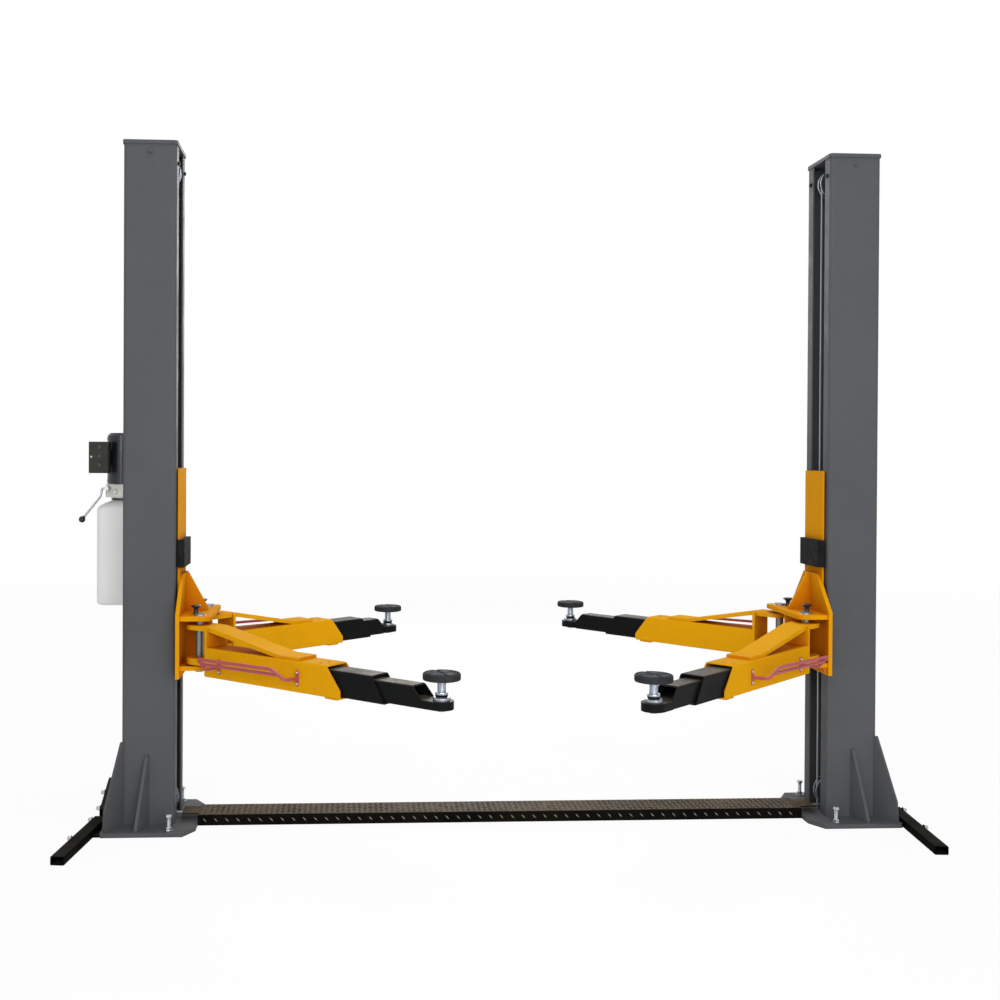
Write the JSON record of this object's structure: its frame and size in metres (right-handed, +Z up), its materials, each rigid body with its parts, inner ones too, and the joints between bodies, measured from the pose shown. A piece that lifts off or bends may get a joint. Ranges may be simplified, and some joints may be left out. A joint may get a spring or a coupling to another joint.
{
  "type": "two post car lift",
  "caption": "Two post car lift: charcoal C-section columns, yellow carriages with telescoping swing arms, screw pads, floor cover and hydraulic power unit",
  "frame": {"origin": "on the floor, midway between the two columns", "axes": "+X from the left column to the right one, +Y to the rear, +Z up"},
  "size_m": [3.5459, 2.1359, 2.8303],
  "materials": {
    "column_paint": "satin charcoal grey paint",
    "cap_paint": "satin charcoal grey paint",
    "base_paint": "satin charcoal grey paint",
    "outrigger_paint": "semi-gloss black paint",
    "pulley_steel": "dark oiled steel",
    "cover_paint": "black tread plate",
    "cable_steel": "galvanised wire rope",
    "motor_paint": "semi-gloss black paint",
    "pump_metal": "machined aluminium",
    "tank_plastic": "milky white plastic",
    "box_paint": "dark olive-grey paint",
    "lever_steel": "black steel with a plastic ball",
    "carriage_paint": "amber yellow paint",
    "bumper_rubber": "matt black rubber",
    "pin_steel": "zinc-plated steel",
    "knob_plastic": "black plastic",
    "arm_paint": "amber yellow paint",
    "guard_paint": "dusty red paint",
    "extension_paint": "semi-gloss black paint",
    "screw_steel": "zinc-plated steel",
    "pad_rubber": "matt black rubber"
  },
  "bodies": {
    "frame": {"left_column": "column_paint", "left_cap": "cap_paint", "left_base": "base_paint", "front_left_outrigger": "outrigger_paint", "rear_left_outrigger": "outrigger_paint", "left_bottom_pulley": "pulley_steel", "left_top_pulley": "pulley_steel", "right_column": "column_paint", "right_cap": "cap_paint", "right_base": "base_paint", "front_right_outrigger": "outrigger_paint", "rear_right_outrigger": "outrigger_paint", "right_bottom_pulley": "pulley_steel", "right_top_pulley": "pulley_steel", "floor_cover": "cover_paint", "sync_cable": "cable_steel", "motor": "motor_paint", "pump_block": "pump_metal", "oil_tank": "tank_plastic", "control_box": "box_paint"},
    "lever": {"release_lever": "lever_steel"},
    "left_carriage": {"left_carriage": "carriage_paint", "left_bumper": "bumper_rubber", "front_left_pivot_pin": "pin_steel", "rear_left_pivot_pin": "pin_steel"},
    "right_carriage": {"right_carriage": "carriage_paint", "right_bumper": "bumper_rubber", "front_right_pivot_pin": "pin_steel", "rear_right_pivot_pin": "pin_steel"},
    "front_left_lock": {"front_left_lock_knob": "knob_plastic"},
    "front_left_arm": {"front_left_arm": "arm_paint", "front_left_guard": "guard_paint"},
    "front_left_middle": {"front_left_middle_tube": "extension_paint"},
    "front_left_inner": {"front_left_inner_tube": "extension_paint"},
    "front_left_pad": {"front_left_screw": "screw_steel", "front_left_pad": "pad_rubber"},
    "rear_left_lock": {"rear_left_lock_knob": "knob_plastic"},
    "rear_left_arm": {"rear_left_arm": "arm_paint", "rear_left_guard": "guard_paint"},
    "rear_left_middle": {"rear_left_middle_tube": "extension_paint"},
    "rear_left_inner": {"rear_left_inner_tube": "extension_paint"},
    "rear_left_pad": {"rear_left_screw": "screw_steel", "rear_left_pad": "pad_rubber"},
    "front_right_lock": {"front_right_lock_knob": "knob_plastic"},
    "front_right_arm": {"front_right_arm": "arm_paint", "front_right_guard": "guard_paint"},
    "front_right_middle": {"front_right_middle_tube": "extension_paint"},
    "front_right_inner": {"front_right_inner_tube": "extension_paint"},
    "front_right_pad": {"front_right_screw": "screw_steel", "front_right_pad": "pad_rubber"},
    "rear_right_lock": {"rear_right_lock_knob": "knob_plastic"},
    "rear_right_arm": {"rear_right_arm": "arm_paint", "rear_right_guard": "guard_paint"},
    "rear_right_middle": {"rear_right_middle_tube": "extension_paint"},
    "rear_right_inner": {"rear_right_inner_tube": "extension_paint"},
    "rear_right_pad": {"rear_right_screw": "screw_steel", "rear_right_pad": "pad_rubber"}
  },
  "joints": [
    {"name": "lift_left", "type": "slide", "parent": "frame", "child": "left_carriage", "axis": [0, 0, 1], "range_m": [-0.56, 1.12]},
    {"name": "lift_right", "type": "slide", "parent": "frame", "child": "right_carriage", "axis": [0, 0, 1], "range_m": [-0.56, 1.12]},
    {"name": "front_left_swing", "type": "hinge", "parent": "left_carriage", "child": "front_left_arm", "pos_m": [-1.266, -0.15, 0.75], "axis": [0, 0, -1], "range_deg": [-35, 50]},
    {"name": "front_left_middle_slide", "type": "slide", "parent": "front_left_arm", "child": "front_left_middle", "axis": [0.766, -0.6428, 0], "range_m": [-0.14, 0.1]},
    {"name": "front_left_inner_slide", "type": "slide", "parent": "front_left_middle", "child": "front_left_inner", "axis": [0.766, -0.6428, 0], "range_m": [-0.12, 0.1]},
    {"name": "front_left_pad_screw", "type": "slide", "parent": "front_left_inner", "child": "front_left_pad", "axis": [0, 0, 1], "range_m": [0, 0.05]},
    {"name": "front_left_lock", "type": "slide", "parent": "left_carriage", "child": "front_left_lock", "axis": [0, 0, 1], "range_m": [0, 0.02], "stiffness_N_per_m": 400, "springref_m": -0.01},
    {"name": "rear_left_swing", "type": "hinge", "parent": "left_carriage", "child": "rear_left_arm", "pos_m": [-1.266, 0.15, 0.75], "axis": [0, 0, 1], "range_deg": [-36.7, 48.3]},
    {"name": "rear_left_middle_slide", "type": "slide", "parent": "rear_left_arm", "child": "rear_left_middle", "axis": [0.7466, 0.6652, 0], "range_m": [-0.14, 0.1]},
    {"name": "rear_left_inner_slide", "type": "slide", "parent": "rear_left_middle", "child": "rear_left_inner", "axis": [0.7466, 0.6652, 0], "range_m": [-0.08, 0.1]},
    {"name": "rear_left_pad_screw", "type": "slide", "parent": "rear_left_inner", "child": "rear_left_pad", "axis": [0, 0, 1], "range_m": [0, 0.05]},
    {"name": "rear_left_lock", "type": "slide", "parent": "left_carriage", "child": "rear_left_lock", "axis": [0, 0, 1], "range_m": [0, 0.02], "stiffness_N_per_m": 400, "springref_m": -0.01},
    {"name": "front_right_swing", "type": "hinge", "parent": "right_carriage", "child": "front_right_arm", "pos_m": [1.266, -0.15, 0.75], "axis": [0, 0, 1], "range_deg": [-38.9, 46.1]},
    {"name": "front_right_middle_slide", "type": "slide", "parent": "front_right_arm", "child": "front_right_middle", "axis": [-0.7206, -0.6934, 0], "range_m": [-0.14, 0.1]},
    {"name": "front_right_inner_slide", "type": "slide", "parent": "front_right_middle", "child": "front_right_inner", "axis": [-0.7206, -0.6934, 0], "range_m": [-0.12, 0.1]},
    {"name": "front_right_pad_screw", "type": "slide", "parent": "front_right_inner", "child": "front_right_pad", "axis": [0, 0, 1], "range_m": [0, 0.05]},
    {"name": "front_right_lock", "type": "slide", "parent": "right_carriage", "child": "front_right_lock", "axis": [0, 0, 1], "range_m": [0, 0.02], "stiffness_N_per_m": 400, "springref_m": -0.01},
    {"name": "rear_right_swing", "type": "hinge", "parent": "right_carriage", "child": "rear_right_arm", "pos_m": [1.266, 0.15, 0.75], "axis": [0, 0, -1], "range_deg": [-43.1, 41.9]},
    {"name": "rear_right_middle_slide", "type": "slide", "parent": "rear_right_arm", "child": "rear_right_middle", "axis": [-0.6678, 0.7443, 0], "range_m": [-0.14, 0.1]},
    {"name": "rear_right_inner_slide", "type": "slide", "parent": "rear_right_middle", "child": "rear_right_inner", "axis": [-0.6678, 0.7443, 0], "range_m": [-0.12, 0.1]},
    {"name": "rear_right_pad_screw", "type": "slide", "parent": "rear_right_inner", "child": "rear_right_pad", "axis": [0, 0, 1], "range_m": [0, 0.05]},
    {"name": "rear_right_lock", "type": "slide", "parent": "right_carriage", "child": "rear_right_lock", "axis": [0, 0, 1], "range_m": [0, 0.02], "stiffness_N_per_m": 400, "springref_m": -0.01},
    {"name": "release_lever_turn", "type": "hinge", "parent": "frame", "child": "lever", "pos_m": [-1.7, 0.117, 1.395], "axis": [0, 1, 0], "range_deg": [0, 20], "stiffness_Nm_per_rad": 4, "springref_deg": -5.73}
  ],
  "couplings": [
    {"joint": "lift_right", "follows": "lift_left", "ratio": 1}
  ]
}
